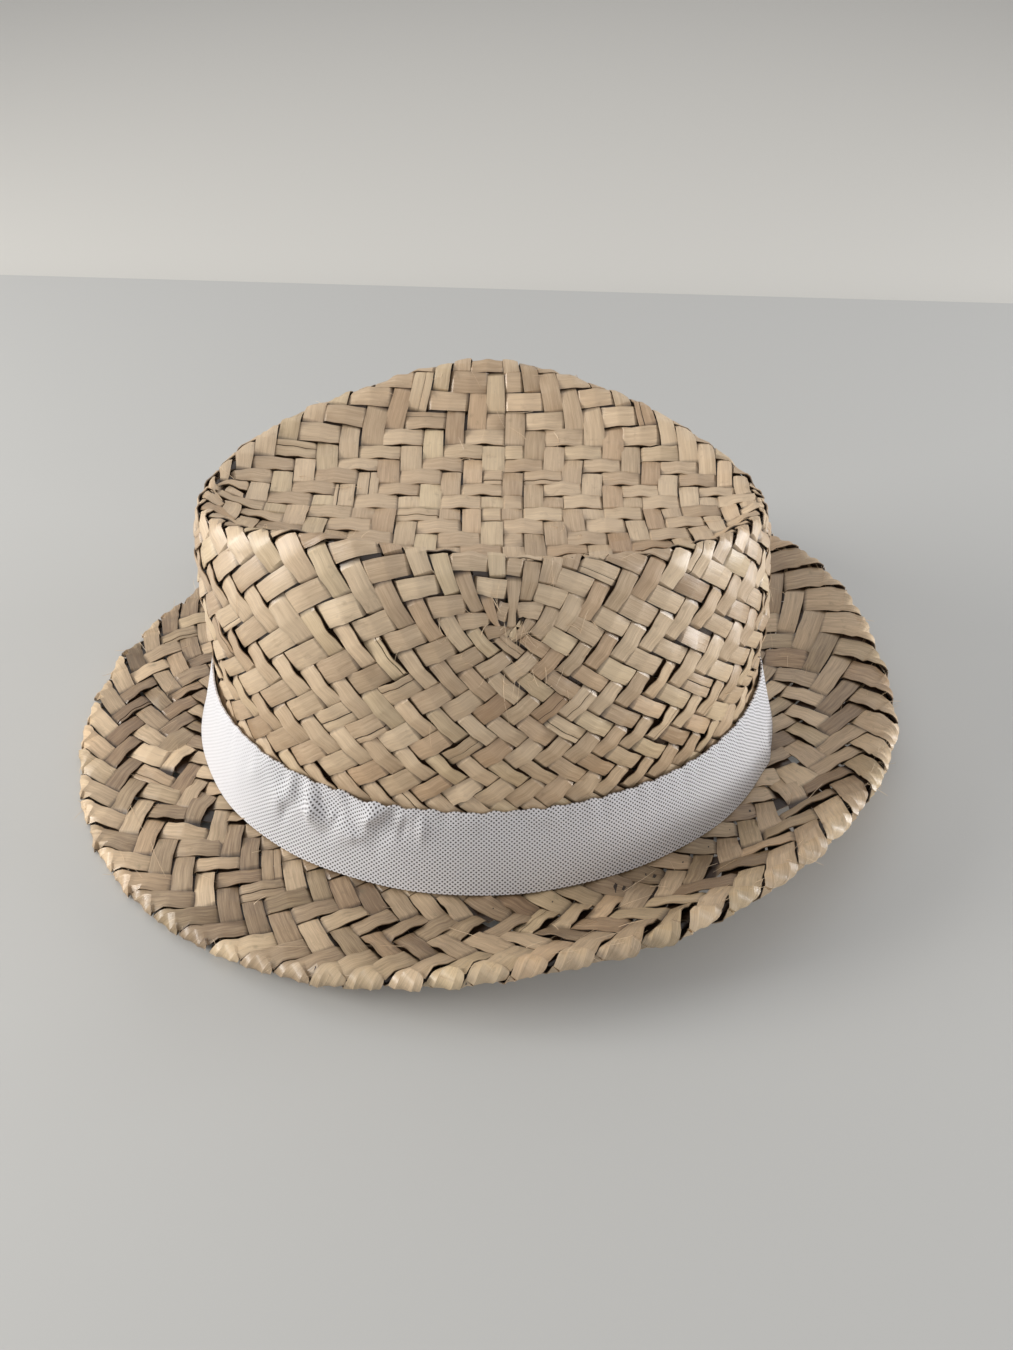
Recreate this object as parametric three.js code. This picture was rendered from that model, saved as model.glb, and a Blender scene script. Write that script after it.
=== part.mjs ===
// A straw fedora, in millimetres: a plaited crown with a long dent, a turned-up brim and a cloth band.
// The front of the hat points to -X, its back to +X, and it stands on the surface at Z = 0.
import * as THREE from "three";

// Walls, and the gap that parts the pieces.
const STRAW = 2;
const BORDER_THICKNESS = 3.4;
const CLOTH = 1;
const GAP = 0.3;

// The foot of the crown: an oval, a little fuller in front than behind.
const FOOT_HALF_LENGTH = 101.7;
const FOOT_HALF_WIDTH = 81.7;
const FRONT_FULLNESS = 0.048;

// The front of the crown's foot stands higher above the surface than its back, which rests on the brim's root.
const FRONT_LIFT = 3.2;
const LIFT_STARTS_AT = 60;

// The waist is where the band's upper edge draws the straw in.
const BAND_HEIGHT = 29.5;
const WAIST_HALF_LENGTH = 93.5;
const WAIST_HALF_WIDTH = 73.5;
const BODY_HEIGHT = 54;
const BODY_HALF_LENGTH = 93.4;
const BODY_HALF_WIDTH = 70.8;

// The ridge runs round the top of the crown, and the dent lies inside it.
const RIDGE_HALF_LENGTH = 86.8;
const RIDGE_HALF_WIDTH = 54;
const RIDGE_SHIFT = -1; // the top leans this far towards the front
const FLOOR_HALF_LENGTH = 75;
const FLOOR_HALF_WIDTH = 42;
const FLOOR_HEIGHT = 92;
const FLOOR_TILT = 0.05; // rise of the floor for each millimetre towards +Y

// Height of the ridge above the surface, by the angle from the back, anticlockwise seen from above.
const RIDGE = [
  { angle: 0, height: 96 },
  { angle: 30, height: 99 },
  { angle: 60, height: 108 },
  { angle: 90, height: 115.3 },
  { angle: 120, height: 107 },
  { angle: 150, height: 101 },
  { angle: 180, height: 98.5 },
  { angle: 210, height: 107 },
  { angle: 240, height: 118 },
  { angle: 270, height: 116 },
  { angle: 300, height: 110 },
  { angle: 330, height: 103 },
];

// The ridge's rounding: how far each line of it lies outside the ridge and below it.
const ROUNDING = [
  { name: "shoulder", out: 4.4, sideOut: 7.5, below: 15 },
  { name: "outer edge", out: 2.6, sideOut: 3.6, below: 4.5 },
  { name: "ridge", out: 0, sideOut: 0, below: 0 },
];
const INNER_EDGE_IN = 5.5;
const INNER_EDGE_DROP = 0.28; // of the dent's depth
const FLOOR_EDGE_RISE = 0.05; // of the dent's depth

// The brim: how far its edge stands out from the band, and how high its upper face is there.
const BRIM = [
  { angle: 0, margin: 42, height: 14 },
  { angle: 30, margin: 48, height: 23 },
  { angle: 60, margin: 44, height: 21 },
  { angle: 90, margin: 42, height: 15 },
  { angle: 120, margin: 41, height: 8 },
  { angle: 150, margin: 40.5, height: 3.4 },
  { angle: 180, margin: 42.5, height: 3.4 },
  { angle: 210, margin: 43, height: 3.4 },
  { angle: 240, margin: 40.5, height: 8 },
  { angle: 270, margin: 38.5, height: 21 },
  { angle: 300, margin: 37, height: 26 },
  { angle: 330, margin: 35.5, height: 25 },
];
const BRIM_ROOT = 0.16; // share of the margin that stays level before the brim turns
const BRIM_CURL = 1.25; // over 1, the brim turns up more and more towards its edge
const BORDER_SHARE = 0.28; // share of the brim's width that is folded back

// Facets.
const COLUMNS = 60;
const ROWS_PER_LINE = 3; // rows of facets between one line of the crown and the next
const FLOOR_ROWS = 5;
const BRIM_ROWS = 9;
const BAND_ROWS = 3;

const radians = THREE.MathUtils.degToRad;

// The value of one column of a table of evenly spaced angles, along a closed smooth curve.
function around(table, column, angle) {
  const step = 360 / table.length;
  const place = (((angle % 360) + 360) % 360) / step;
  const first = Math.floor(place) % table.length;
  const t = place - Math.floor(place);
  const at = (k) => table[(first + k + table.length) % table.length][column];
  const [a, b, c, d] = [at(-1), at(0), at(1), at(2)];
  return b + (t / 2) * (c - a + t * (2 * a - 5 * b + 4 * c - d + t * (3 * (b - c) + d - a)));
}

// A point on a level oval.
function oval(halfLength, halfWidth, angle, height) {
  const c = Math.cos(radians(angle));
  const s = Math.sin(radians(angle));
  return new THREE.Vector3(halfLength * c, halfWidth * s * (1 - FRONT_FULLNESS * c), height);
}

// The level outward direction of the foot's oval.
function outward(angle) {
  const ahead = oval(FOOT_HALF_LENGTH, FOOT_HALF_WIDTH, angle + 0.5, 0);
  const behind = oval(FOOT_HALF_LENGTH, FOOT_HALF_WIDTH, angle - 0.5, 0);
  return new THREE.Vector3(ahead.y - behind.y, behind.x - ahead.x, 0).normalize();
}

// How high the brim's root is lifted above the surface.
function lift(angle) {
  const fromBack = Math.abs(((angle + 180) % 360 + 360) % 360 - 180);
  return FRONT_LIFT * THREE.MathUtils.smoothstep(fromBack, LIFT_STARTS_AT, 180);
}

function crownFoot(angle) {
  return STRAW + GAP + lift(angle);
}

function floorHeight(point) {
  return FLOOR_HEIGHT + FLOOR_TILT * point.y;
}

// The crown's outside in one upright section, from its foot up the wall, over the ridge and down to the middle.
function crownSection(angle) {
  const foot = crownFoot(angle);
  const ridge = around(RIDGE, "height", angle);
  const points = [
    oval(FOOT_HALF_LENGTH, FOOT_HALF_WIDTH, angle, foot),
    oval(WAIST_HALF_LENGTH, WAIST_HALF_WIDTH, angle, foot + BAND_HEIGHT),
    oval(BODY_HALF_LENGTH, BODY_HALF_WIDTH, angle, foot + BODY_HEIGHT),
  ];
  for (const line of ROUNDING) {
    const point = oval(RIDGE_HALF_LENGTH + line.out, RIDGE_HALF_WIDTH + line.sideOut, angle, ridge - line.below);
    point.x += RIDGE_SHIFT;
    points.push(point);
  }
  const edge = oval(FLOOR_HALF_LENGTH, FLOOR_HALF_WIDTH, angle, 0);
  const depth = ridge - floorHeight(edge);
  points.push(
    oval(
      RIDGE_HALF_LENGTH - INNER_EDGE_IN,
      RIDGE_HALF_WIDTH - INNER_EDGE_IN,
      angle,
      ridge - INNER_EDGE_DROP * depth,
    ),
  );
  edge.z = floorHeight(edge) + FLOOR_EDGE_RISE * depth;
  points.push(edge);
  const curve = new THREE.CatmullRomCurve3(points, false, "centripetal");
  const wall = curve.getPoints(ROWS_PER_LINE * (points.length - 1));
  for (let row = 1; row < FLOOR_ROWS; row++) {
    const inner = edge.clone().multiplyScalar(1 - row / FLOOR_ROWS);
    inner.z = floorHeight(inner) + FLOOR_EDGE_RISE * depth * (1 - row / FLOOR_ROWS) ** 3;
    wall.push(inner);
  }
  return wall;
}

// The brim's upper face in one upright section, from its edge in to just under the crown's wall.
function brimSection(angle) {
  const root = oval(FOOT_HALF_LENGTH, FOOT_HALF_WIDTH, angle, STRAW + lift(angle));
  const out = outward(angle);
  const margin = around(BRIM, "margin", angle) + CLOTH + GAP;
  const rise = around(BRIM, "height", angle) - root.z;
  const points = [root.clone().addScaledVector(out, -STRAW)];
  for (let row = 0; row <= BRIM_ROWS; row++) {
    const share = row / BRIM_ROWS;
    const turned = Math.max(0, (share - BRIM_ROOT) / (1 - BRIM_ROOT));
    const point = root.clone().addScaledVector(out, share * margin);
    point.z += rise * turned ** BRIM_CURL;
    points.push(point);
  }
  return points.reverse();
}

// A closed wall: the outer face's sections, and the same sections set in by each point's thickness.
// A pole closes the last row of both faces, and without one a rim joins them. No inner point lies below lowest.
function shell(section, thickness, { pole = null, lowest = () => -Infinity } = {}) {
  const upper = [];
  for (let column = 0; column < COLUMNS; column++) {
    upper.push(section((column * 360) / COLUMNS));
  }
  const rows = upper[0].length;
  const at = (column, row) => upper[(column + COLUMNS) % COLUMNS][row];
  const lower = upper.map((points, column) =>
    points.map((point, row) => {
      const along = at(column + 1, row).clone().sub(at(column - 1, row));
      const inward = (row + 1 < rows ? at(column, row + 1) : pole ?? point).clone();
      inward.sub(row > 0 ? at(column, row - 1) : point);
      const normal = along.cross(inward).normalize();
      const set = point.clone().addScaledVector(normal, -thickness(row / (rows - 1)));
      set.z = Math.max(set.z, lowest((column * 360) / COLUMNS));
      return set;
    }),
  );
  return closed(upper, lower, pole, thickness(1));
}

// Joins two grids of points into one closed surface.
function closed(upper, lower, pole, poleThickness) {
  const rows = upper[0].length;
  const last = rows - 1;
  const positions = [];
  const index = [];
  for (const grid of [upper, lower]) {
    for (const points of grid) {
      for (const point of points) {
        positions.push(point.x, point.y, point.z);
      }
    }
  }
  const upperPole = positions.length / 3;
  if (pole) {
    positions.push(pole.x, pole.y, pole.z);
    positions.push(pole.x, pole.y, pole.z - poleThickness);
  }
  const id = (side, column, row) => (side * COLUMNS + (column % COLUMNS)) * rows + row;
  const quad = (a, b, c, d) => index.push(a, b, c, a, c, d);
  for (let column = 0; column < COLUMNS; column++) {
    for (let row = 0; row + 1 < rows; row++) {
      quad(id(0, column, row), id(0, column + 1, row), id(0, column + 1, row + 1), id(0, column, row + 1));
      quad(id(1, column, row), id(1, column, row + 1), id(1, column + 1, row + 1), id(1, column + 1, row));
    }
    quad(id(0, column + 1, 0), id(0, column, 0), id(1, column, 0), id(1, column + 1, 0));
    if (pole) {
      index.push(id(0, column, last), id(0, column + 1, last), upperPole);
      index.push(id(1, column + 1, last), id(1, column, last), upperPole + 1);
    } else {
      quad(id(0, column, last), id(0, column + 1, last), id(1, column + 1, last), id(1, column, last));
    }
  }
  const geometry = new THREE.BufferGeometry();
  geometry.setAttribute("position", new THREE.Float32BufferAttribute(positions, 3));
  geometry.setIndex(index);
  geometry.computeVertexNormals();
  return geometry;
}

function crown() {
  const middle = new THREE.Vector3(0, 0, FLOOR_HEIGHT);
  return shell(crownSection, () => STRAW, { pole: middle, lowest: crownFoot });
}

function brim() {
  const thickness = (share) => (share < BORDER_SHARE ? BORDER_THICKNESS : STRAW);
  return shell(brimSection, thickness, { lowest: () => 0 });
}

// The band hugs the crown's wall from just above the brim up to the waist.
function band() {
  const section = (angle) => {
    const out = outward(angle);
    const foot = crownFoot(angle);
    const points = [];
    for (let row = 0; row <= BAND_ROWS; row++) {
      const share = row / BAND_ROWS;
      const point = oval(
        THREE.MathUtils.lerp(FOOT_HALF_LENGTH, WAIST_HALF_LENGTH, share),
        THREE.MathUtils.lerp(FOOT_HALF_WIDTH, WAIST_HALF_WIDTH, share),
        angle,
        foot + GAP + share * BAND_HEIGHT,
      );
      points.push(point.addScaledVector(out, GAP + CLOTH));
    }
    return points;
  };
  return shell(section, () => CLOTH);
}

// A named piece in its own colour.
function piece(name, geometry, color, roughness) {
  const material = new THREE.MeshStandardMaterial({ color, roughness, metalness: 0 });
  const mesh = new THREE.Mesh(geometry, material);
  mesh.name = name;
  return mesh;
}

const hat = new THREE.Group();
hat.add(piece("crown", crown(), 0xb09a78, 0.55));
hat.add(piece("brim", brim(), 0x94795a, 0.6));
hat.add(piece("hat_band", band(), 0xd9d6d8, 0.85));

// The origin is under the middle of the hat, on the surface it stands on.
const extent = new THREE.Box3().setFromObject(hat, true);
const middle = extent.getCenter(new THREE.Vector3());
for (const mesh of hat.children) {
  mesh.geometry.translate(-middle.x, -middle.y, -extent.min.z);
}

export default hat;
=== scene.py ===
import math

import bpy
import numpy as np
from mathutils import Matrix, Vector


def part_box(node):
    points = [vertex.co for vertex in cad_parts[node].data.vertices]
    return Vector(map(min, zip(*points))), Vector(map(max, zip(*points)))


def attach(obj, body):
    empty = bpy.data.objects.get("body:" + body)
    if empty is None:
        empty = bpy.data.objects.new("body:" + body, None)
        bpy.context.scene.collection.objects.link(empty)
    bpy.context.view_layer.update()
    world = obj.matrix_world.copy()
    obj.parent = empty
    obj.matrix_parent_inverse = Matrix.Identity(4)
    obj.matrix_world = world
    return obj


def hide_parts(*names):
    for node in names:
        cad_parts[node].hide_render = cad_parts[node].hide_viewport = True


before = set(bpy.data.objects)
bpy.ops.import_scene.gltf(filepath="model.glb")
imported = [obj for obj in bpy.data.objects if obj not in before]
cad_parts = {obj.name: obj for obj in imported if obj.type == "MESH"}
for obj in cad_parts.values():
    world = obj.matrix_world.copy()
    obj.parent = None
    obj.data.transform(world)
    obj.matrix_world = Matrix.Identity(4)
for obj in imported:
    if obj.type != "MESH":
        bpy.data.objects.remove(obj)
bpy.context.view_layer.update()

MM = 0.001
MAP_UNIT = 10  # millimetres to one unit of a piece's map
rng = np.random.default_rng(57)

# -------- the hat's sizes
# Lengths go along the hat and widths across it, and both are half ones.
# A table goes round the hat in even steps from the back.
low, high = (np.array(corner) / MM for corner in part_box("crown"))
CENTRE = (low + high) / 2 * (1, 1, 0)

FRONT_FULLNESS = 0.048  # share by which the ovals are wider towards the front
FOOT_LENGTH, FOOT_WIDTH = 101.7, 81.7
WAIST_LENGTH, WAIST_WIDTH, BAND_HEIGHT = 93.5, 73.5, 29.5
BODY_LENGTH, BODY_WIDTH, BODY_HEIGHT = 93.4, 70.8, 54.0
RIDGE_LENGTH, RIDGE_WIDTH, RIDGE_SHIFT = 86.8, 54.0, -1.0
RIDGE_HEIGHT = np.array([96, 99, 108, 115.3, 107, 101, 98.5, 107, 118, 116, 110, 103.0])
ROUNDING = ((4.4, 7.5, 15.0), (2.6, 3.6, 4.5), (0.0, 0.0, 0.0))  # out at the ends, out at the sides, below
INNER_EDGE_IN, INNER_EDGE_DROP = 5.5, 0.28
FLOOR_LENGTH, FLOOR_WIDTH, FLOOR_HEIGHT, FLOOR_TILT = 75.0, 42.0, 92.0, 0.05
FLOOR_EDGE_RISE = 0.05
STRAW, GAP, CLOTH = 2.0, 0.3, 1.0
FRONT_LIFT, LIFT_STARTS_AT = 3.2, 60.0
BRIM_MARGIN = np.array([42, 48, 44, 42, 41, 40.5, 42.5, 43, 40.5, 38.5, 37, 35.5])
BRIM_HEIGHT = np.array([14, 23, 21, 15, 8, 3.4, 3.4, 3.4, 8, 21, 26, 25.0])
BRIM_ROOT, BRIM_CURL = 0.16, 1.25


def curve(a, b, c, d, t):
    """A share t of the way from b to c on the smooth curve through all four."""
    return b + (t / 2) * (c - a + t * (2 * a - 5 * b + 4 * c - d + t * (3 * (b - c) + d - a)))


def around(table, degrees):
    """The value at each angle of a table of evenly spaced angles, on a closed smooth curve."""
    n = len(table)
    place = (degrees % 360) / (360 / n)
    k = np.floor(place).astype(int) % n
    a, b, c, d = (table[(k + j) % n] for j in (-1, 0, 1, 2))
    return curve(a, b, c, d, place - np.floor(place))


def spline(values, u):
    """Values at the places u, counted in rows of a table, on the smooth curve through the rows."""
    rows = np.concatenate([2 * values[:1] - values[1:2], values, 2 * values[-1:] - values[-2:-1]])
    k = np.clip(np.floor(u).astype(int), 0, len(values) - 2)
    a, b, c, d = (rows[k + j] for j in range(4))
    return curve(a, b, c, d, (u - k)[:, None])


def unit(v):
    return v / (np.linalg.norm(v, axis=-1, keepdims=True) + 1e-12)


def smooth(x):
    """A soft step from 0 to 1."""
    x = np.clip(x, 0, 1)
    return x * x * (3 - 2 * x)


def bell(x):
    return np.exp(-(x**2))


def away_from(middle, degrees):
    """The angle from the middle one, the short way round."""
    return (degrees - middle + 180) % 360 - 180


def run_along(points):
    """The way along a line of points up to each of them."""
    return np.append(0, np.cumsum(np.linalg.norm(np.diff(points, axis=0), axis=1)))


def oval(length, width, degrees, z):
    c, s = np.cos(np.radians(degrees)), np.sin(np.radians(degrees))
    return np.stack([length * c, width * s * (1 - FRONT_FULLNESS * c), z + 0 * c], -1)


def outward(degrees):
    before, after = (oval(FOOT_LENGTH, FOOT_WIDTH, degrees + turn, 0) for turn in (-0.5, 0.5))
    along = after - before
    return unit(np.stack([along[..., 1], -along[..., 0], 0 * degrees], -1))


def lift(degrees):
    """How far the foot of the hat is raised: not at all at the back, and most at the front."""
    from_back = np.abs(away_from(0, degrees))
    return FRONT_LIFT * smooth((from_back - LIFT_STARTS_AT) / (180 - LIFT_STARTS_AT))


def face_outward(piece, crease):
    """Turns a piece's faces outward and smooths the edges that are blunter than the crease."""
    bpy.ops.object.select_all(action="DESELECT")
    piece.select_set(True)
    bpy.context.view_layer.objects.active = piece
    bpy.ops.object.mode_set(mode="EDIT")
    bpy.ops.mesh.select_all(action="SELECT")
    bpy.ops.mesh.normals_make_consistent(inside=False)
    bpy.ops.object.mode_set(mode="OBJECT")
    bpy.ops.object.shade_smooth_by_angle(angle=math.radians(crease))


def add_object(name, data):
    thing = bpy.data.objects.new(name, data)
    bpy.context.collection.objects.link(thing)
    return thing


def vertex_at_corners(mesh):
    """The vertex at each corner of each face."""
    vertex = np.empty(len(mesh.loops), int)
    mesh.loops.foreach_get("vertex_index", vertex)
    return vertex


def add_map(mesh, name, places):
    """Gives each face corner its place on a map, from millimetres."""
    mesh.uv_layers.new(name=name).data.foreach_set("uv", (places / MAP_UNIT).ravel())


# -------- the crown's surface
FLOOR_EDGE, MIDDLE = 7, 8  # the floor's edge and middle, counted in lines from the foot


def crown_lines(degrees):
    """The crown's lines at each angle, from foot, waist and body over the ridge to the floor's edge."""
    foot = STRAW + GAP + lift(degrees)
    ridge = around(RIDGE_HEIGHT, degrees)
    lines = [
        oval(FOOT_LENGTH, FOOT_WIDTH, degrees, foot),
        oval(WAIST_LENGTH, WAIST_WIDTH, degrees, foot + BAND_HEIGHT),
        oval(BODY_LENGTH, BODY_WIDTH, degrees, foot + BODY_HEIGHT),
    ]
    for out, side_out, below in ROUNDING:
        line = oval(RIDGE_LENGTH + out, RIDGE_WIDTH + side_out, degrees, ridge - below)
        line[..., 0] += RIDGE_SHIFT
        lines.append(line)
    edge = oval(FLOOR_LENGTH, FLOOR_WIDTH, degrees, 0)
    floor = FLOOR_HEIGHT + FLOOR_TILT * edge[..., 1]
    depth = ridge - floor
    inner_height = ridge - INNER_EDGE_DROP * depth
    lines.append(oval(RIDGE_LENGTH - INNER_EDGE_IN, RIDGE_WIDTH - INNER_EDGE_IN, degrees, inner_height))
    edge[..., 2] = floor + FLOOR_EDGE_RISE * depth
    lines.append(edge)
    return np.stack(lines), depth


def crown_at(degrees, t):
    """Points of the crown's outside. t counts its lines from the foot, on to the floor's middle."""
    lines, depth = crown_lines(degrees)
    bounded = np.clip(t, 0, FLOOR_EDGE - 1e-9)
    k = np.floor(bounded).astype(int)
    u = (bounded - k)[:, None]
    ends = np.concatenate([2 * lines[:1] - lines[1:2], lines, 2 * lines[-1:] - lines[-2:-1]])
    each = np.arange(len(degrees))
    x0, x1, x2, x3 = (ends[k + j, each] for j in range(4))
    a, b, c = (np.sqrt(np.linalg.norm(p - q, axis=-1))[:, None] + 1e-9
               for p, q in ((x0, x1), (x1, x2), (x2, x3)))
    start = ((x1 - x0) / a - (x2 - x0) / (a + b) + (x2 - x1) / b) * b
    end = ((x2 - x1) / b - (x3 - x1) / (b + c) + (x3 - x2) / c) * b
    wall = x1 + start * u + (3 * (x2 - x1) - 2 * start - end) * u**2 + (2 * (x1 - x2) + start + end) * u**3
    w = np.clip(t - FLOOR_EDGE, 0, 1)
    floor = lines[-1] * (1 - w)[:, None]
    floor[:, 2] = FLOOR_HEIGHT + FLOOR_TILT * floor[:, 1] + FLOOR_EDGE_RISE * depth * (1 - w) ** 3
    return np.where((t > FLOOR_EDGE)[:, None], floor, wall)


# Rounding of the ridge: the line where it starts, how soon it is full, where it ends, how soon it goes.
ROUNDED, ROUNDED_MUCH = (3.2, 0.9, 7.8, 0.7), (2.4, 1.6, 7.6, 1.2)
ROUNDING_STEP, MORE_NEAR, NEAR_MIDDLE = 0.36, 0.14, 272  # in lines, and where it is rounded most
WEIGHTS = ((-2, 1 / 16), (-1, 1 / 4), (0, 3 / 8), (1, 1 / 4), (2, 1 / 16))


def soft_crown(degrees, t, much=False):
    """The crown's outside with its ridge rounded as plaited straw rounds it, or much more."""
    first, full, last, gone = ROUNDED_MUCH if much else ROUNDED
    near = np.clip(np.cos(np.radians(degrees - NEAR_MIDDLE)), 0, 1) ** 2
    most = 1 if much else ROUNDING_STEP + MORE_NEAR * near
    reach = most * smooth((t - first) / full) * smooth((last - t) / gone)
    return sum(crown_at(degrees, np.clip(t + k * reach, 0, MIDDLE)) * weight for k, weight in WEIGHTS)


def heading_of(flat):
    return np.arctan2(flat[:, 1], flat[:, 0]) % (2 * math.pi)


class Shell:
    """The crown's outside as an even table. A flat place is the way from the middle over the surface."""

    STEPS = 400

    def __init__(self, much=False):
        self.turns = np.arange(361.0)
        count = len(self.turns)
        heights = np.linspace(MIDDLE, 0, self.STEPS + 1)
        a, b = np.meshgrid(self.turns, heights, indexing="ij")
        soft = soft_crown(a.ravel(), b.ravel(), much).reshape(count, -1, 3)
        self.arcs = np.array([run_along(line) for line in soft])
        self.reach = self.arcs[:, -1]
        even = np.linspace(0, 1, self.STEPS + 1)
        self.points = np.stack([
            np.stack([np.interp(even * self.reach[i], self.arcs[i], soft[i, :, k]) for k in range(3)], -1)
            for i in range(count)])
        by_turn = np.roll(self.points[:-1], -1, 0) - np.roll(self.points[:-1], 1, 0)
        by_turn = np.concatenate([by_turn, by_turn[:1]])
        self.normals = unit(np.cross(np.gradient(self.points, axis=1), by_turn))
        self.normals[:, 0] = (0, 0, 1)
        floor = oval(FLOOR_LENGTH, FLOOR_WIDTH, self.turns, 0)
        self.headings = np.unwrap(np.arctan2(floor[:, 1], floor[:, 0]))

    def between(self, table, i, f, k):
        """Values of a table at turn i and a share f on, and k steps from the middle."""
        k0 = np.clip(np.floor(k).astype(int), 0, self.STEPS - 1)
        g = k - k0
        if table.ndim == 3:
            f, g = f[:, None], g[:, None]
        return ((table[i, k0] * (1 - g) + table[i, k0 + 1] * g) * (1 - f)
                + (table[i + 1, k0] * (1 - g) + table[i + 1, k0 + 1] * g) * f)

    def flat(self, degrees, t):
        i = np.floor(degrees).astype(int) % 360
        arc = self.between(self.arcs, i, degrees - np.floor(degrees), (MIDDLE - t) / MIDDLE * self.STEPS)
        heading = np.interp(degrees % 360, self.turns, self.headings)
        return arc[:, None] * np.stack([np.cos(heading), np.sin(heading)], 1)

    def at(self, flat):
        """Points and normals at flat places."""
        turn = np.interp(heading_of(flat), self.headings, self.turns)
        i = np.clip(np.floor(turn).astype(int), 0, 359)
        f = turn - i
        reach = self.reach[i] * (1 - f) + self.reach[i + 1] * f
        k = np.hypot(flat[:, 0], flat[:, 1]) / reach * self.STEPS
        return self.between(self.points, i, f, k), unit(self.between(self.normals, i, f, k))


def slopes(surface, flat, step):
    """Points and normals at flat places, and the points' rates along both flat directions."""
    points, normals = surface(flat)
    by_first, by_second = ((surface(flat + way)[0] - points) / step for way in ((step, 0), (0, step)))
    return points, normals, by_first, by_second


def in_flat(by_first, by_second, way):
    """The step in flat places that makes a way over the surface."""
    a, b, c = ((p * q).sum(1)
               for p, q in ((by_first, by_first), (by_first, by_second), (by_second, by_second)))
    f, g = (by_first * way).sum(1), (by_second * way).sum(1)
    return np.stack([f * c - g * b, g * a - f * b], 1) / (a * c - b * b + 1e-9)[:, None]


# -------- the crown's plait
# A square mat of crossing strips covers the top. At four plaited corners, near, back, far and front, its
# strips turn and go on down the wall as two slanting sets, in rings of crossings.
# A crossing's level counts the crossings from the middle.
MAT = 13  # level of the mat's corners
LAST = 40  # level at the crown's foot
RING = 4 * MAT
CORNERS = np.array(((0, -1), (1, 0), (0, 1), (-1, 0)))
AXIS_X = 9.0  # the plait's middle line lies this far towards the back
MAT_BACK, MAT_FRONT = 87.5, 90.5  # over the surface from the middle to the mat's corners
ROW = 6.85  # from one row of the mat to the next
SECTION = 3.0  # degrees between the sections that the first places are found on
CORNER_PLACES = np.array([[14, -86.5], [88, 1], [9, 84], [-88, 2.0]])  # flat places of the four corners


def crossings():
    """Numbers the crossings, each with its level, its place on the mat and its turn on a ring."""
    key, level, place, turn = {}, [], [], []
    for quarter in range(4):
        for a in range(MAT):
            for b in range(MAT - a):
                key["mat", quarter, a, b] = len(level)
                level.append(a + b + 1)
                place.append((a + 0.5) * CORNERS[(quarter + 1) % 4] + (b + 0.5) * CORNERS[quarter])
                turn.append(0.0)
    for l in range(MAT + 1, LAST + 1):
        for m in range(RING):
            key["ring", l, m] = len(level)
            level.append(l)
            place.append((0.0, 0.0))
            turn.append(m + (0.5 if (l - MAT) % 2 == 0 else 0))
    return key, np.array(level), np.array(place), np.array(turn)


def on_mat(place):
    """Angles and ways over the surface from the middle, of places on the mat counted in strips."""
    x = AXIS_X + np.where(place[:, 0] > 0, MAT_BACK - AXIS_X, MAT_FRONT + AXIS_X) / MAT * place[:, 0]
    y = ROW * place[:, 1]
    return np.degrees(np.arctan2(y / FLOOR_WIDTH, x / FLOOR_LENGTH)) % 360, np.hypot(x, y)


def first_places(level, place, turn):
    """The angle and line of each crossing, before the plait is evened out."""
    sections = np.arange(0, 360, SECTION)
    heights = np.linspace(MIDDLE, 0, 321)
    grid = np.array([crown_at(sections, np.full(len(sections), t)) for t in heights])
    arcs = np.stack([run_along(grid[:, i]) for i in range(len(sections))], 1)

    # The rings' turns are spread evenly over the foot between the four corners.
    degrees = np.arange(0, 3601) / 10.0
    run = run_along(oval(FOOT_LENGTH, FOOT_WIDTH, degrees, 0))
    far = math.degrees(math.acos(AXIS_X / FOOT_LENGTH))
    stops = np.interp([360 - far, 360, 360 + far, 540, 720 - far],
                      np.append(degrees, degrees[1:] + 360), np.append(run, run[1:] + run[-1]))
    on_ring = level > MAT
    s = turn[on_ring]
    foot_angle = np.interp(np.interp(s, MAT * np.arange(5), stops) % run[-1], run, degrees)

    quarter = np.floor(s / MAT).astype(int) % 4
    past = (s - MAT * np.floor(s / MAT))[:, None]
    edge_angle, edge_arc = on_mat(past * CORNERS[(quarter + 1) % 4] + (MAT - past) * CORNERS[quarter])
    angle, arc = on_mat(place)
    share = (level[on_ring] - MAT) / (LAST - MAT)
    angle[on_ring] = edge_angle + away_from(edge_angle, foot_angle) * share
    whole = np.interp(angle[on_ring] % 360, np.append(sections, 360), np.append(arcs[-1], arcs[-1, 0]))
    arc[on_ring] = edge_arc + (whole - edge_arc) * share

    k = (angle % 360) / SECTION
    k0 = np.floor(k).astype(int) % len(sections)
    f = k - np.floor(k)
    table = arcs[:, k0] * (1 - f) + arcs[:, (k0 + 1) % len(sections)] * f
    t = np.array([np.interp(arc[n], table[:, n], heights) for n in range(len(arc))])
    t[level == LAST] = 0
    return angle % 360, t


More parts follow.
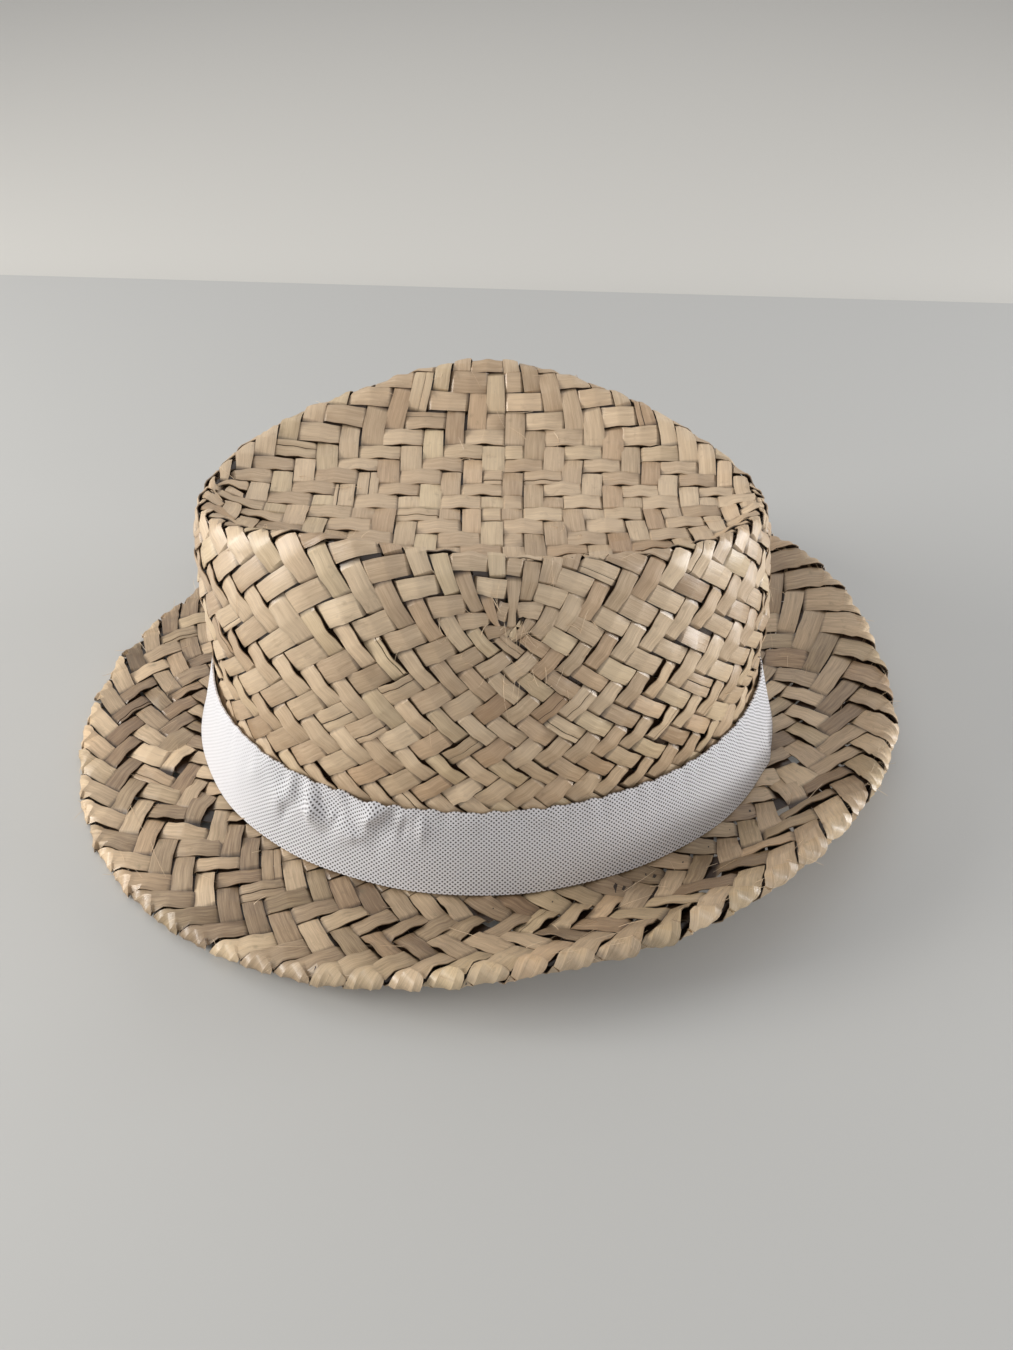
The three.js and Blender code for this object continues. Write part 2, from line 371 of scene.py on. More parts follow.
def crown_strips(key):
    """The crossings of each strip from foot to foot, and whether it goes clockwise at each."""

    def ring_node(l, s):
        m = math.floor(s % RING + 1e-6) if (l - MAT) % 2 == 0 else round(s % RING) % RING
        return key["ring", l, m]

    strips = []
    for across in range(2):
        for h in range(-MAT, MAT):
            c = h + 0.5
            reach = MAT - int(abs(c) - 0.5)
            nodes, clockwise, turns = [], [], []
            for o in np.arange(-reach, reach) + 0.5:
                x, y = (c, o) if across == 0 else (o, c)
                quarter = (0 if y < 0 else 1) if x > 0 else (2 if y > 0 else 3)
                ahead = CORNERS[(quarter + 1) % 4]
                p, r = ahead @ (x, y), CORNERS[quarter] @ (x, y)
                nodes.append(key["mat", quarter, int(p - 0.5), int(r - 0.5)])
                clockwise.append(abs(ahead[across]) == 1)
                turns.append(MAT * quarter + p)
            ends = []
            for k in (0, -1):
                side = -0.5 if clockwise[k] else 0.5
                ends.append([ring_node(l, turns[k] + side * (l - MAT)) for l in range(MAT + 1, LAST + 1)])
            whole_strip = ends[0][::-1] + nodes + ends[1]
            sense = [clockwise[0]] * len(ends[0]) + clockwise + [clockwise[-1]] * len(ends[1])
            strips.append((np.array(whole_strip), np.array(sense)))
    return strips


def neighbours(level, strips, held):
    """Pairs of crossings next to each other on a strip, how many each has, and which ones stay put."""
    pairs = np.concatenate([np.stack([nodes[:-1], nodes[1:]], 1) for nodes, _ in strips])
    count = np.bincount(pairs.ravel(), minlength=len(level))[:, None]
    fixed = level == LAST
    fixed[held] = True
    return pairs, count, fixed


def drawn(pull, pairs, count, fixed):
    """How far pulls along the pairs move each crossing."""
    move = np.zeros((len(count), pull.shape[1]))
    np.add.at(move, pairs[:, 0], pull)
    np.add.at(move, pairs[:, 1], -pull)
    move[fixed] = 0
    return move / count


def settle(shell, flat, pairs, count, fixed):
    """Evens out the crossings over the crown's surface, as springs along the strips would."""
    rounds, spacing, step = 110, 6.4, 0.4
    draw, spring = 0.3, 0.4
    for _ in range(rounds):
        points, _, by_first, by_second = slopes(shell.at, flat, step)
        apart = points[pairs[:, 1]] - points[pairs[:, 0]]
        length = np.linalg.norm(apart, axis=1)[:, None]
        pull = apart * (draw + spring * (1 - spacing / length))
        flat = flat + in_flat(by_first, by_second, drawn(pull, pairs, count, fixed))
    return flat


def even_out(flat, pairs, count, fixed):
    """Takes the small kinks out of the strips' lines, in flat places."""
    rounds = 20
    for _ in range(rounds):
        apart = flat[pairs[:, 1]] - flat[pairs[:, 0]]
        flat = flat + drawn(apart, pairs, count, fixed) / 2
    return flat


# -------- strips of straw
STRAW_CREASE = 33  # degrees
THICK = 0.42
ACROSS = np.array([0, 0.25, 0.75, 1])  # points across a strip's top
BOW = np.array([-0.5, 0.25, 0.25, -0.5])  # and how far its arch raises them
EDGE_LIT = 0.9  # painted shade: how lit a strip's edges are, next to its middle, and its underside at most
FIBRE_BRIGHT = (0.6, 1.0)
LOWEST = 0.2  # above the table


class Weave:
    """Collects strips and makes them one mesh. A tone is how bright a place is, how far painted shade leaves
    it lit, and its hue.
    """

    def __init__(self):
        self.points, self.faces, self.uv, self.tone = [], [], [], []
        self.count = 0

    def tube(self, rings, uv, tone):
        """Joins rings of points into a closed tube. Each point has a map place and a tone."""
        n, m = rings.shape[:2]
        k = self.count + m * np.arange(n - 1)[:, None]
        j = np.arange(m)
        after = (j + 1) % m
        quads = np.stack([k + j, k + after, k + m + after, k + m + j], -1)
        self.faces += quads.reshape(-1, 4).tolist()
        first_end = np.arange(m) + self.count
        self.faces += [first_end[::-1].tolist(), (first_end + m * (n - 1)).tolist()]
        self.points.append(rings.reshape(-1, 3))
        self.uv.append(uv.reshape(-1, 2))
        self.tone.append(tone.reshape(-1, 3))
        self.count += m * n

    def strip(self, surface, flat, aside, half_width, height, tone, roll, arch, start, puff, ends):
        """A strip laid along flat places of a surface, reaching aside on each hand and bowed up by arch."""
        n = len(flat)
        vs = ends[0] + (ends[1] - ends[0]) * ACROSS
        rise = arch * BOW + roll[:, None] * vs
        spots = flat[:, None] + aside[:, None] * vs[:, None]
        points, normals = (found.reshape(n, 4, 3) for found in surface(spots.reshape(-1, 2)))
        if puff is not None:
            rise += puff(spots[..., 1])
        lifted = (height[:, None] + rise)[:, :, None]
        top = points + normals * (lifted + THICK / 2)
        under = (points + normals * (lifted - THICK / 2))[:, ::3]
        rings = np.concatenate([top, under[:, ::-1]], 1)  # four points above, two below
        run = run_along(points.mean(1)) + start
        v = np.append(vs, vs[::3][::-1]) * half_width[:, None]
        colour = np.repeat(tone[:, None, :3], 6, 1)
        # Painted shade: the edges of a strip's top are a little darker.
        colour[:, [0, 3], 1] *= EDGE_LIT
        colour[:, 4:, 1] = EDGE_LIT * tone[:, 3:]  # painted shade: the underside is lit where the top is covered and dark where the strip lies over another
        self.tube(rings, np.stack([np.repeat(run[:, None], 6, 1), v], -1), colour)

    def hair(self, path, thickness):
        """A thin three-sided fibre along a path of points, drawn out at its tip."""
        n = len(path)
        radius, bright = rng.uniform(*thickness), rng.uniform(*FIBRE_BRIGHT)
        along = unit(np.gradient(path, axis=0))
        side = unit(np.cross(along, (0.3, 0.5, 0.8)))
        other = np.cross(along, side)
        size = radius * np.linspace(1, 0.45, n)[:, None]
        thirds = (2 * math.pi * k / 3 for k in range(3))
        rings = np.stack([path + size * (side * math.cos(a) + other * math.sin(a)) for a in thirds], 1)
        uv = np.repeat(np.stack([np.arange(n), np.zeros(n)], 1), 3, 0)
        self.tube(rings, uv, np.tile([bright, 1.0, 0.5], 3 * n))

    def make(self, name, material):
        points = np.concatenate(self.points) + CENTRE
        points[:, 2] = np.maximum(points[:, 2], LOWEST)
        mesh = bpy.data.meshes.new(name)
        mesh.from_pydata((points * MM).tolist(), [], self.faces)
        add_map(mesh, "straw", np.concatenate(self.uv)[vertex_at_corners(mesh)])
        tone = np.concatenate(self.tone)
        shade = mesh.attributes.new("tone", "FLOAT_COLOR", "POINT")
        shade.data.foreach_set("color", np.concatenate([tone, np.ones((len(tone), 1))], 1).ravel())
        mesh.materials.append(material)
        piece = add_object(name, mesh)
        face_outward(piece, STRAW_CREASE)
        return piece


def sway(u, size, per):
    """A smooth random value along a strip that turns about every per crossings."""
    knots = rng.normal(0, size, int((u[-1] - u[0]) / per) + 4)
    return spline(knots[:, None], (u - u[0]) / per)[:, 0]


SHAPED_AT = np.array([0.0, 0.38, 0.60])  # places between two crossings where a strip is shaped
DIVE = 0.30  # share of the way between two crossings that a strip takes to dive
OVER_TWO, UNDER_TWO = 2.0, 1.1  # how much a strip bows out between two crossings on the same side


def places(n):
    return np.append((np.arange(n - 1)[:, None] + SHAPED_AT).ravel(), n - 1)


def ride_height(u, over):
    """1 where the strip lies over its crossing and -1 where it lies under, with a quick dive between."""
    side = np.where(over, 1.0, -1.0)
    k = np.clip(np.floor(u).astype(int), 0, len(over) - 2)
    dive = smooth((u - k - 0.5) / DIVE + 0.5)
    ride = side[k] * (1 - dive) + side[k + 1] * dive
    held = (over[k] == over[k + 1]) & (u > k)
    return np.where(held, ride * np.where(ride > 0, OVER_TWO, UNDER_TWO), ride)


# Unevenness: its size, and where it changes along a strip the crossings between its turns.
WIDTH_SWAY, SIDE_SWAY, HEIGHT_SWAY, LEAN_SWAY = (0.05, 3.7), (0.22, 3.0), (0.07, 1.3), (1.0, 2.3)
WIDTH_SPREAD, FLOAT_SPREAD = 0.045, 0.11  # of the width from strip to strip, of the brightness along one
PRESSED_LEAN = 0.25  # share of its lean that a strip keeps where it is pressed flat under another
SPLIT_TILT, SPLIT_LIFT = 0.12, 0.05


def lay(weave, surface, u, flat, spacing, over, amplitude, sink, fill, widest, tone, split_share, arch,
        spread, lean, step, puff=None):
    """Lays one strip. u counts its crossings, and spacing is the way to the next strip alongside."""
    n = len(flat)
    centre, normal, by_first, by_second = slopes(surface, flat, step)
    along = unit(np.gradient(centre, axis=0))
    across = unit(np.cross(normal, along))
    half = np.minimum(np.abs((spacing * across).sum(1)) * fill, widest) / 2
    half *= 1 + sway(u, *WIDTH_SWAY) + rng.normal(0, WIDTH_SPREAD)
    shift = sway(u, *SIDE_SWAY)
    aside = in_flat(by_first, by_second, across)
    flat = flat + aside * shift[:, None]
    aside = aside * half[:, None]
    ride = ride_height(u, over)
    height = ride * amplitude - sink + sway(u, *HEIGHT_SWAY)

    # A float is a run of crossings on the same side. Each has its own brightness and lean.
    floats = np.append(0, np.cumsum(np.diff(over.astype(int)) != 0))
    float_of = floats[np.clip(np.floor(u + 0.5).astype(int), 0, len(over) - 1)]
    base = tone + rng.normal(0, spread)
    bright = base + rng.normal(0, FLOAT_SPREAD, floats[-1] + 2)[float_of]
    hue = np.full(n, rng.random())
    # Painted shade: the top darkens where the strip dives under another, and the underside where it lies over
    # one.
    light, below = smooth((ride + 0.75) / 0.7), smooth((0.75 - ride) / 0.7)
    if puff is not None:
        bright += 0.5 * puff(flat[:, 1])
    colour = np.clip(np.stack([bright, light, hue, below], 1), 0, 1)
    kept = PRESSED_LEAN + (1 - PRESSED_LEAN) * smooth((ride + 0.9) / 0.9)
    roll = lean * (sway(u, *LEAN_SWAY) * kept
                   + rng.normal(0, 1.0, floats[-1] + 2)[float_of] * np.maximum(ride, 0))
    start = rng.uniform(0, 900)

    # Some lengths are split in two. Each split starts and ends where the strip lies under another.
    hidden = [i for i in range(1, n - 1) if ride[i] < -0.9 and u[i] == round(u[i])]
    cuts, i = [], 0
    while i < len(hidden) - 1:
        if rng.random() < split_share:
            j = min(i + int(rng.integers(1, 3)), len(hidden) - 1)
            cuts.append((hidden[i], hidden[j]))
            i = j + 1
        else:
            i += 1

    def add_length(part, last, arch, lifted=0.0, tilt=0.0, ends=(-1.0, 1.0)):
        weave.strip(surface, flat[part], aside[part], half[part], height[part] + lifted, colour[part],
                    roll[part] + tilt, arch, start + last, puff, ends)

    last = 0
    for a, b in cuts:
        if a > last:
            add_length(slice(last, a + 1), last, arch)
        where, gap = rng.uniform(-0.6, 0.6), rng.uniform(0.01, 0.06)
        for ends, tilt in (((-1, where - gap), SPLIT_TILT), ((where + gap, 1), -SPLIT_TILT)):
            add_length(slice(a, b + 1), last, arch / 2, rng.normal(0, SPLIT_LIFT), tilt * rng.random(), ends)
        last = b
    if last < n - 1:
        add_length(slice(last, n), last, arch)


# -------- the crown
# Flat place, reach and share of the width lost where the plait is worn thin.
WORN = ((-86, 4, 7, 0.34), (-80, 12, 6, 0.2), (84, -8, 8, 0.26), (76, -20, 9, 0.18), (15, -80, 7, 0.25),
        (20, -92, 7, 0.18), (-60, -62, 9, 0.08), (-95, 10, 10, 0.12))
LOOSE_HEADING, LOOSE_REACH, LOOSE_SHARE = -38.0, 28, 0.10  # the flank where the strips stand apart
WALL_FROM, DENT_UP_TO = 84, 80  # ways from the middle
DENT_TIGHTER = 0.045  # share of the width gained in the dent
CROWN_FILL, DENT_LEAN, WALL_LEAN = 0.94, 0.11, 0.19
CROWN_STRAW = dict(amplitude=0.55, sink=0.95, widest=8.4, tone=0.5, split_share=0.06, arch=0.26, spread=0.14,
                   step=0.3)


def ways_across(points, strips):
    """For each strip, the way at each crossing to the next strip alongside."""
    visits = {}
    for n, (nodes, _) in enumerate(strips):
        for k, node in enumerate(nodes):
            visits.setdefault(int(node), []).append((n, k))
    for n, (nodes, _) in enumerate(strips):
        ways = np.zeros((len(nodes), 3))
        for k, node in enumerate(nodes):
            other = [visit for visit in visits[int(node)] if visit[0] != n]
            m, j = other[0] if other else (n, k)
            line = points[strips[m][0]]
            a, b = max(j - 1, 0), min(j + 1, len(line) - 1)
            ahead, behind = line[b] - line[j], line[j] - line[a]
            length = np.linalg.norm(ahead) + np.linalg.norm(behind)
            ways[k] = unit(ahead + behind) * length / (b - a)
            if k > 0 and ways[k] @ ways[k - 1] < 0:
                ways[k] *= -1
        yield ways


def build_crown(material):
    key, level, place, turn = crossings()
    strips = crown_strips(key)
    held = [key["ring", MAT + 1, m] for m in range(0, RING, MAT)]
    shell, rounder = Shell(), Shell(much=True)

    def narrowing(flat):
        return np.interp(heading_of(flat), shell.headings, shell.reach / rounder.reach)[:, None]

    # The plait is evened out on a rounder crown and then drawn in to the real one.
    flat = rounder.flat(*first_places(level, place, turn))
    flat[held] = CORNER_PLACES / narrowing(CORNER_PLACES)
    linked = neighbours(level, strips, held)
    flat = settle(rounder, flat, *linked)
    flat = even_out(flat, *linked)
    flat = flat * narrowing(flat)
    weave = Weave()
    for (nodes, clockwise), ways in zip(strips, ways_across(shell.at(flat)[0], strips)):
        u = places(len(nodes))
        over = clockwise == (level[nodes] % 4 < 2)
        line = spline(flat[nodes], u)
        x, y = line[:, 0], line[:, 1]
        out = np.hypot(x, y)
        from_loose = away_from(LOOSE_HEADING, np.degrees(np.arctan2(y, x)))
        loose = LOOSE_SHARE * bell(from_loose / LOOSE_REACH) * smooth((out - WALL_FROM) / 12)
        loose -= DENT_TIGHTER * smooth((DENT_UP_TO - out) / 20)
        for worn_x, worn_y, reach, share in WORN:
            loose += share * bell(np.hypot(x - worn_x, y - worn_y) / reach)
        lean = DENT_LEAN + (WALL_LEAN - DENT_LEAN) * smooth((out - DENT_UP_TO) / 12)
        spacing = spline(ways, u)
        lay(weave, shell.at, u, line, spacing, over, fill=CROWN_FILL - loose, lean=lean, **CROWN_STRAW)
    return weave.make("crown_plait", material)


# -------- the brim
# The brim's flat places are the number of a strip and a level, counted from the crown.
BRIM_EDGE = 9.6  # level at the edge
BRIM_START = -1
FOLD = 0.46  # half of a fold's length, in levels
FOLD_RADIUS, FOLD_POINTS = 2.4, 9
HEM = 2.4  # levels that a strip runs back below
USUAL_MARGIN = 44  # the brim's usual width
STRIPS_TO_A_DEGREE = (
    (0, 0.172), (150, 0.19), (200, 0.2), (262, 0.205), (300, 0.158), (335, 0.150), (360, 0.172))
LATE_SIDE = 335  # where the plait comes out from under the band last
TUCKED_IN = 0.55  # levels that the strips reach in under the band
HOLES = ((305, 20), (328, 11), (345, 12), (270, 11), (199, 14), (213, 13))  # angle, and way out
HOLE_PUSH, HOLE_REACH = 0.22, 1.3
TALL_FOLD, LOW_FOLD = (0.3, 0.8), -0.25  # how far the folds on top and the folds below bulge
FLAT_FOLDS, FLAT_REACH, FLATTENED = 322.0, 45, 0.45  # where the edge's folds are pressed flat, and how far
BRIM_STRAW = dict(amplitude=0.55, sink=0.9, fill=0.91, widest=9.5, arch=0.30, tone=0.40, split_share=0.07,
                  spread=0.20, lean=0.26, step=0.02)


def brim_margin(degrees):
    return around(BRIM_MARGIN, degrees) + CLOTH + GAP


def brim_at(degrees, share):
    """Points of the brim's top, a share of the way out."""
    root = oval(FOOT_LENGTH, FOOT_WIDTH, degrees, STRAW + lift(degrees))
    rise = around(BRIM_HEIGHT, degrees) - root[..., 2]
    turned = np.maximum(0, (share - BRIM_ROOT) / (1 - BRIM_ROOT))
    point = root + outward(degrees) * (share * brim_margin(degrees))[..., None]
    point[..., 2] += rise * turned**BRIM_CURL
    return point


def first_level(degrees):
    return 1 + np.cos(np.radians(degrees - LATE_SIDE))


def build_brim(material):
    angles = np.arange(0, 361)
    density = np.interp(angles, *zip(*STRIPS_TO_A_DEGREE))
    turns = np.append(0, np.cumsum((density[:-1] + density[1:]) / 2))
    count = round(turns[-1])
    turns *= count / turns[-1]
    weave = Weave()

    def surface(flat):
        """Points and normals at flat places, over the edge and back below."""
        s, l = flat[:, 0], flat[:, 1]
        within = np.where(l <= BRIM_EDGE, l, 2 * BRIM_EDGE - l)
        degrees = np.interp(s % count, turns, angles)
        start = first_level(degrees)
        share = (np.minimum(within, BRIM_EDGE - FOLD) - start) / (BRIM_EDGE - FOLD - start)
        share *= 1 - FOLD_RADIUS / USUAL_MARGIN
        point = brim_at(degrees, share)
        step = 1e-2
        by_angle = brim_at(degrees + step, share) - point
        by_share = brim_at(degrees, share + step) - point
        normal = unit(np.cross(by_share, by_angle))
        out = unit(by_share)
        half_turn = np.pi * np.clip((l - BRIM_EDGE + FOLD) / (2 * FOLD), 0, 1)
        point += out * (FOLD_RADIUS * np.sin(half_turn))[:, None]
        point -= normal * (FOLD_RADIUS * (1 - np.cos(half_turn)))[:, None]
        spun = normal * np.cos(half_turn)[:, None] + out * np.sin(half_turn)[:, None]
        return point, unit(spun)

    # A hole lies between the two strips of each set that are pushed apart round it.
    holes = []
    for degrees, out in HOLES:
        s = np.interp(degrees, angles, turns)
        start = first_level(degrees)
        l = start + out / brim_margin(degrees) * (BRIM_EDGE - start)
        holes.append((math.floor(s + l / 2) + 0.5, math.floor(s - l / 2) + 0.5))

    levels = np.arange(BRIM_START, int(BRIM_EDGE + HEM) + 1)
    at_fold = BRIM_EDGE - BRIM_START + FOLD * np.linspace(-1, 1, FOLD_POINTS)
    shaped_at = np.unique(np.round(np.append(places(len(levels)), at_fold), 3))
    for clockwise in (True, False):
        side = -0.5 if clockwise else 0.5
        over = (levels % 4 < 2) == clockwise
        over[levels > BRIM_EDGE] = clockwise
        for c in range(count):
            u = shaped_at
            l = u + BRIM_START
            s = c + side * l
            degrees = np.interp(s % count, turns, angles)
            u, l, s = (values[l > first_level(degrees) - TUCKED_IN] for values in (u, l, s))
            for a, b in holes:
                off = c - (a if clockwise else b)
                if abs(off) < 1:
                    s += np.sign(off) * HOLE_PUSH * bell((l - (a - b)) / HOLE_REACH)
            flat = np.stack([s, l], 1)
            spacing = surface(flat + (0.5, 0))[0] - surface(flat - (0.5, 0))[0]
            bulge = LOW_FOLD
            if clockwise:
                flattened = FLATTENED * bell(away_from(FLAT_FOLDS, degrees[-1]) / FLAT_REACH)
                bulge = rng.uniform(*TALL_FOLD) - flattened

            def puff(l, bulge=bulge):
                return bulge * bell((l - BRIM_EDGE) / 0.8)

            lay(weave, surface, u, flat, spacing, over, puff=puff, **BRIM_STRAW)
    return weave.make("brim_plait", material)


# -------- loose fibres
FIBRES_ON_CROWN, FIBRES_AT_EDGE, FIBRES_ON_BRIM = 150, 210, 110
FRAYED_SHARE, FRAYED_HEADING, FRAYED_OUT = 0.35, -1.38, 92  # of the near corner: heading in radians, way out
CROWN_FIBRE, BRIM_FIBRE = (0.07, 0.13), (0.06, 0.12)  # least and most radius


def build_fibres(material):
    weave = Weave()
    shell = Shell()
    run = np.linspace(0, 1, 6)[:, None]
    for _ in range(FIBRES_ON_CROWN):
        heading, out = rng.uniform(0, 2 * np.pi), rng.uniform(20, 150)
        if rng.random() < FRAYED_SHARE:
            heading, out = rng.normal(FRAYED_HEADING, 0.16), rng.normal(FRAYED_OUT, 9)
        way = rng.normal(0, 1, 2)
        way /= np.linalg.norm(way)
        length, bend = rng.uniform(3, 10), rng.normal(0, 1.5)
        flat = out * np.array([[math.cos(heading), math.sin(heading)]]) + length * way * run
        flat = flat + bend * np.array([[-way[1], way[0]]]) * run * (1 - run) * 2
        point, normal = shell.at(flat)
        height = -0.7 + (1.0 + rng.uniform(0.1, 1.4) * run) * smooth(run / 0.35)
        weave.hair(point + normal * height, CROWN_FIBRE)
    for _ in range(FIBRES_AT_EDGE):
        degrees = rng.uniform(0, 360)
        start = brim_at(degrees, rng.uniform(0.9, 0.99))
        out = outward(degrees)
        way = unit(out * rng.uniform(0.1, 1) + np.cross((0, 0, 1), out) * rng.normal(0, 1.2)
                   + (0, 0, rng.normal(0.1, 0.35)))
        curl = rng.normal(0, 1.2, 3)
        path = start + way * rng.uniform(2.5, 7.5) * run + curl * run**2 - (0, 0, 0.6)
        weave.hair(path, BRIM_FIBRE)
    run = run[:, 0]
    for _ in range(FIBRES_ON_BRIM):
        degrees, share = rng.uniform(0, 360), rng.uniform(0.2, 0.95)
        turn, further = rng.normal(0, 4), rng.normal(0, 0.08)
        path = brim_at(degrees + turn * run, np.clip(share + further * run, 0.1, 0.98))
        path[:, 2] += -0.6 + (1.0 + rng.uniform(0.1, 0.8) * run) * smooth(run / 0.35)
        weave.hair(path, BRIM_FIBRE)
    return weave.make("loose_fibres", material)


# -------- the band
# Angle, height, width in degrees, height share, depth in millimetres and slant of each rumple.
RUMPLES = (
    (229, 0.62, 2.2, 0.22, 1.1, 6), (233, 0.80, 1.5, 0.16, -0.8, 4), (237, 0.66, 2.4, 0.20, 1.2, -8),
    (241, 0.84, 1.6, 0.14, -0.9, -4), (244, 0.55, 2.6, 0.20, 0.7, 10), (249, 0.88, 1.8, 0.13, 1.3, -6),
    (252, 0.72, 1.6, 0.16, -0.7, 5), (255, 0.88, 1.7, 0.12, 0.8, 3), (221, 0.75, 2.0, 0.2, 0.5, 8),
    (215, 0.55, 3.0, 0.3, 0.4, 0), (268, 0.92, 2.4, 0.1, 0.4, 0), (281, 0.90, 2.6, 0.1, 0.35, 0),
    (343, 0.25, 3.0, 0.4, 0.9, 4), (336, 0.35, 3.0, 0.3, -0.3, 0), (318, 0.85, 4.0, 0.2, 0.3, 0),
)
SMALL_RUMPLES = 26
SIDES, PARTS = 40, 24  # of the cylinder that the band starts as, and of each of its edges when cut
CLOTH_THICKNESS, CLOTH_CREASE = 0.0005, 60  # metres, degrees
MAP_LENGTH, MAP_WIDTH, MAP_HEIGHT = 98, 78, 30.6  # the oval and the height that the cloth's map follows


def band_places(mesh):
    """The even angle and the height share of each vertex of a cylinder with flat sides."""
    place = np.empty(len(mesh.vertices) * 3)
    mesh.vertices.foreach_get("co", place)
    x, y, z = place.reshape(-1, 3).T
    side = 2 * np.pi / SIDES
    corner = np.floor(np.arctan2(y, x) / side + 1e-4)
    # The way along each flat side gives the even angle.
    within = np.arctan2(y, x) - (corner + 0.5) * side
    even = (np.tan(within) / np.tan(side / 2) + 1) / 2
    return np.degrees((corner + even) * side) % 360, z / (BAND_HEIGHT * MM) + 0.5


def band_surface(degrees, h):
    """Points of the band's outside, rumpled on the near side."""

    def dent(at, high, wide, tall, depth, slant):
        away = away_from(at, degrees - slant * (h - high))
        return depth * bell(away / wide) * bell((h - high) / tall)

    turn = np.radians(degrees)
    wave = (0.40 * np.sin(turn * 97) + 0.30 * np.sin(turn * 61 + 1)
            + 0.5 * np.sin(turn * 43 + 2) * bell((degrees - 246) / 16))
    point = oval(FOOT_LENGTH + (WAIST_LENGTH - FOOT_LENGTH) * h, FOOT_WIDTH + (WAIST_WIDTH - FOOT_WIDTH) * h,
                 degrees, 0)
    point[:, 2] = STRAW + GAP + lift(degrees) + 0.6 + h * BAND_HEIGHT + h**4 * wave * 0.8
    slack = 0.15 * np.sin(turn * 7 + h * 2) + 0.09 * np.sin(turn * 17 + 1 + h * 3)
    rumple = 1.2 * sum(dent(*spot) for spot in RUMPLES)
    for _ in range(SMALL_RUMPLES):
        rumple += dent(rng.normal(240, 11), rng.uniform(0.42, 0.98), rng.uniform(0.7, 1.5),
                       rng.uniform(0.07, 0.15), rng.choice([-0.6, 0.8]) * rng.uniform(0.5, 1.3),
                       rng.normal(0, 8))
    ruck = bell((degrees - 238) / 12) * smooth((h - 0.35) / 0.5)
    folds = 0.5 * np.sin(turn * 66 + h * 7.0) * ruck
    flare = 0.5 * (1 - h) ** 4
    out = np.maximum(slack + rumple + folds + flare, -0.3 - 0.3 * h)
    return point + outward(degrees) * (GAP + CLOTH + 0.2 + out)[:, None]


def map_cloth(mesh, degrees, h):
    """Lays the cloth's map along the band and up it."""
    vertex = vertex_at_corners(mesh)
    turns = degrees[vertex].reshape(-1, 4)
    over_back = (np.ptp(turns, 1) > 180)[:, None] & (turns < 180)
    turns = (turns + 360 * over_back).ravel()
    run = run_along(oval(MAP_LENGTH, MAP_WIDTH, np.arange(361), 0))
    along = np.interp(turns % 360, np.arange(361), run) + run[-1] * (turns >= 360)
    add_map(mesh, "cloth", np.stack([along, h[vertex] * MAP_HEIGHT], 1))


def build_band(material):
    """A ring of cloth, cut into small faces and drawn in to the crown."""
    bpy.ops.mesh.primitive_cylinder_add(vertices=SIDES, radius=FOOT_WIDTH * MM, depth=BAND_HEIGHT * MM,
                                        end_fill_type="NOTHING", location=(0, 0, 0))
    band = bpy.context.object
    band.name = "band_cloth"
    bpy.ops.object.mode_set(mode="EDIT")
    bpy.ops.mesh.select_all(action="SELECT")
    bpy.ops.mesh.subdivide(number_cuts=PARTS - 1)
    bpy.ops.object.mode_set(mode="OBJECT")
    degrees, h = band_places(band.data)
    point = band_surface(degrees, h)
    band.data.vertices.foreach_set("co", ((point + CENTRE) * MM).ravel())
    map_cloth(band.data, degrees, h)
    band.data.materials.append(material)
    solid = band.modifiers.new("cloth thickness", "SOLIDIFY")
    solid.thickness = CLOTH_THICKNESS
    solid.offset = -1
    bpy.ops.object.modifier_apply(modifier="cloth thickness")
    face_outward(band, CLOTH_CREASE)
    return band


# -------- finishes
class Nodes:
    """Adds shader nodes to a tree. inputs gives a node's sockets values or other nodes' outputs."""

    def __init__(self, tree):
        self.tree = tree

    def fill(self, node, inputs):
        for key, value in inputs.items():
            if isinstance(value, bpy.types.NodeSocket):
                self.tree.links.new(value, node.inputs[key])
            else:
                node.inputs[key].default_value = value

    def add(self, kind, inputs, **settings):
        node = self.tree.nodes.new("ShaderNode" + kind)
        for name, value in settings.items():
            setattr(node, name, value)
        self.fill(node, inputs)
        return node

    def maths(self, kind, *values):
        return self.add("Math", dict(enumerate(values)), operation=kind).outputs[0]

    def mix(self, factor, first, second, blend="MIX"):
        inputs = {"Factor": factor, 6: first, 7: second}  # the colour sockets share their names with others
        return self.add("Mix", inputs, data_type="RGBA", blend_type=blend).outputs[2]


def new_material(name):
    material = bpy.data.materials.new(name)
    material.use_nodes = True
    return material, Nodes(material.node_tree), material.node_tree.nodes["Principled BSDF"]


